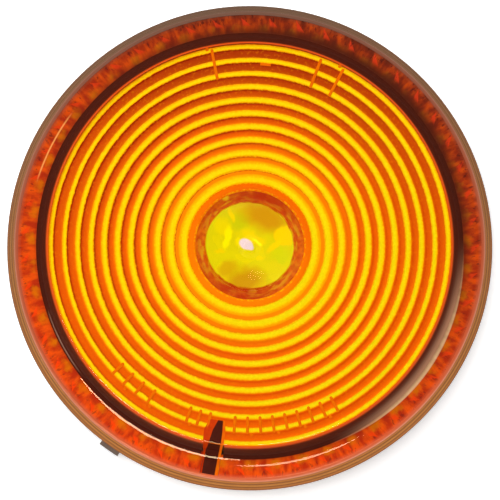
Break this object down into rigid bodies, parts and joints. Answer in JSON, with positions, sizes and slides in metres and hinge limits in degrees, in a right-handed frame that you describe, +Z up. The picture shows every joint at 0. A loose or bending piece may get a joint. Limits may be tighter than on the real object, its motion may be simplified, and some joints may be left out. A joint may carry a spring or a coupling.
{
  "type": "raised pavement marker",
  "caption": "Low round pavement marker with a twist-off amber ring-optic lens over a lit reflector dish, board and coin cells, on a flat stuck-down base.",
  "frame": {"origin": "centre of the flat underside that is stuck to the road", "axes": "+Z up through the lens, -Y towards the side of the lens that has its inner keyway, which is at 260 degrees from +X"},
  "size_m": [0.1, 0.1, 0.0184],
  "materials": {
    "amber_lens": "clear amber polycarbonate, polished outside, ring prisms inside",
    "reflex_amber": "red-orange moulded prisms",
    "butyl": "matt black bitumen and butyl pad",
    "base_plastic": "dark brown-black moulded, fine texture",
    "seal_rubber": "soft black silicone",
    "dish_white": "glossy white reflector plastic",
    "collar_plastic": "speckled red-brown",
    "bullseye_glass": "clear yellow, polished",
    "emitter": "silicone dome over a light-emitting chip",
    "spreader_metal": "satin",
    "board_laminate": "green solder mask on glass-fibre laminate",
    "chip_plastic": "black moulded package",
    "can_metal": "bare drawn can",
    "switch_plastic": "black moulded",
    "button_plastic": "off-white moulded",
    "holder_plastic": "black moulded",
    "cell_steel": "nickel-plated steel",
    "contact_brass": "gold-flashed spring strip",
    "screw_steel": "zinc-plated"
  },
  "bodies": {
    "base": {"adhesive_pad": "butyl", "base_housing": "base_plastic", "lens_seal": "seal_rubber", "reflector_dish": "dish_white", "emitter_collar": "collar_plastic", "bullseye_lens": "bullseye_glass", "led_emitter": "emitter", "heat_spreader": "spreader_metal", "control_board": "board_laminate", "driver_chip": "chip_plastic", "storage_capacitor": "can_metal", "switch_body": "switch_plastic", "cell_holder_1": "holder_plastic", "cell_holder_2": "holder_plastic", "cell_holder_3": "holder_plastic", "coin_cell_1": "cell_steel", "coin_cell_2": "cell_steel", "coin_cell_3": "cell_steel", "cell_contact_1": "contact_brass", "cell_contact_2": "contact_brass", "cell_contact_3": "contact_brass", "board_screw_1": "screw_steel", "board_screw_2": "screw_steel", "board_screw_3": "screw_steel"},
    "lens": {"lens_cap": "amber_lens", "reflex_ring": "reflex_amber"},
    "button": {"switch_button": "button_plastic"}
  },
  "joints": [
    {"name": "lens_turn", "type": "hinge", "parent": "base", "child": "lens", "pos_m": [0, 0, 0.0048], "axis": [0, 0, 1], "range_deg": [0, 22]},
    {"name": "switch_press", "type": "slide", "parent": "base", "child": "button", "axis": [0, 0, -1], "range_m": [0, 0.0006], "stiffness_N_per_m": 800}
  ]
}
